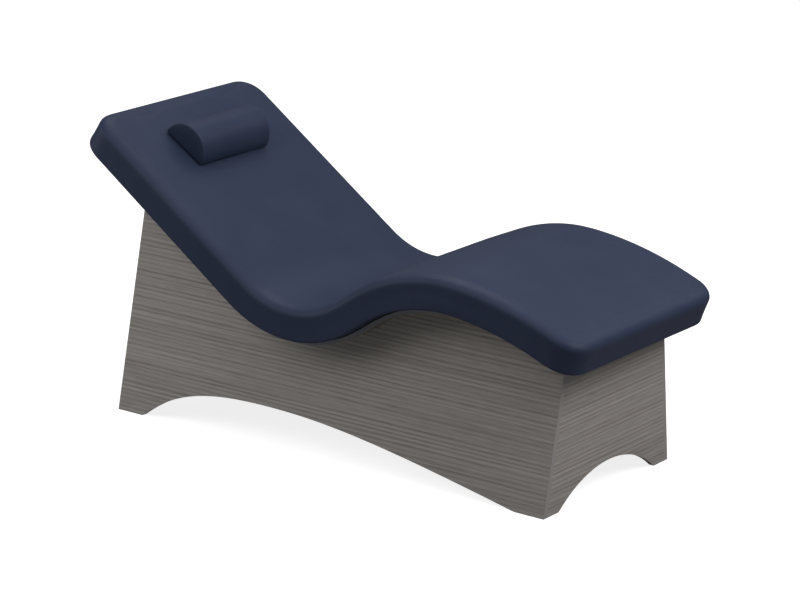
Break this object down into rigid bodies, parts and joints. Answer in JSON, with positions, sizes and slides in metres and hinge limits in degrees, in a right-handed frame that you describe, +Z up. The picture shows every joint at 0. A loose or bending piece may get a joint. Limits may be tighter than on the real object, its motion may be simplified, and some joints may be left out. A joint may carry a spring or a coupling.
{
  "type": "spa relaxation lounger",
  "caption": "Fixed-contour relaxation lounger: thick S-curved upholstered mattress with a half-round neck bolster, on a tapered wood-grain panel base with arched feet.",
  "frame": {"origin": "on the floor, under the middle of the overall length and width", "axes": "+X along the length towards the foot end, +Y across the width towards the occupant's left, +Z up"},
  "size_m": [1.909, 0.76, 0.9726],
  "materials": {
    "navy_vinyl": "upholstery vinyl, fine grain, satin",
    "bolster_vinyl": "upholstery vinyl, fine grain, satin",
    "comfort_foam": "soft polyurethane foam",
    "support_foam": "firm polyurethane foam",
    "lining_cloth": "non-woven lining cloth",
    "hook_tape": "nylon hook tape",
    "loop_tape": "nylon loop tape",
    "plywood": "birch plywood, sanded",
    "pine": "planed pine",
    "wood_grain_laminate": "high-pressure laminate with a linear wood grain, matt",
    "panel_edging": "ABS edging, matt",
    "deck_edging": "ABS edging, matt",
    "zinc_steel": "zinc plated",
    "bracket_steel": "zinc plated pressed steel",
    "insert_brass": "turned brass",
    "glide_nylon": "moulded nylon"
  },
  "bodies": {
    "root": {"mattress_cover": "navy_vinyl", "comfort_foam": "comfort_foam", "support_foam": "support_foam", "mattress_bottom_cloth": "lining_cloth", "mattress_hook_strips": "hook_tape", "deck_loop_strips": "loop_tape", "headrest_loop_strips": "loop_tape", "contour_deck": "plywood", "deck_edge_band": "deck_edging", "deck_screws": "zinc_steel", "right_rib": "plywood", "left_rib": "plywood", "head_cross_rail": "plywood", "hip_cross_rail": "plywood", "knee_cross_rail": "plywood", "foot_cross_rail": "plywood", "rail_blocks": "pine", "deck_brackets": "bracket_steel", "bracket_screws": "zinc_steel", "right_side_panel": "wood_grain_laminate", "left_side_panel": "wood_grain_laminate", "head_end_panel": "wood_grain_laminate", "foot_end_panel": "wood_grain_laminate", "panel_edge_bands": "panel_edging", "head_right_post": "pine", "head_left_post": "pine", "foot_right_post": "pine", "foot_left_post": "pine", "post_screws": "zinc_steel", "glide_inserts": "insert_brass"},
    "bolster": {"bolster_cover": "bolster_vinyl", "bolster_foam": "comfort_foam", "bolster_base_cloth": "lining_cloth", "bolster_hook_strips": "hook_tape"},
    "head_right_glide": {"head_right_glide_stem": "zinc_steel", "head_right_glide_foot": "glide_nylon"},
    "head_left_glide": {"head_left_glide_stem": "zinc_steel", "head_left_glide_foot": "glide_nylon"},
    "foot_right_glide": {"foot_right_glide_stem": "zinc_steel", "foot_right_glide_foot": "glide_nylon"},
    "foot_left_glide": {"foot_left_glide_stem": "zinc_steel", "foot_left_glide_foot": "glide_nylon"}
  },
  "joints": [
    {"name": "bolster_slide", "type": "slide", "parent": "root", "child": "bolster", "axis": [0.8161, 0, -0.5779], "range_m": [-0.06, 0.06]},
    {"name": "head_right_glide_screw", "type": "slide", "parent": "root", "child": "head_right_glide", "axis": [0, 0, -1], "range_m": [0, 0.012]},
    {"name": "head_left_glide_screw", "type": "slide", "parent": "root", "child": "head_left_glide", "axis": [0, 0, -1], "range_m": [0, 0.012]},
    {"name": "foot_right_glide_screw", "type": "slide", "parent": "root", "child": "foot_right_glide", "axis": [0, 0, -1], "range_m": [0, 0.012]},
    {"name": "foot_left_glide_screw", "type": "slide", "parent": "root", "child": "foot_left_glide", "axis": [0, 0, -1], "range_m": [0, 0.012]}
  ]
}
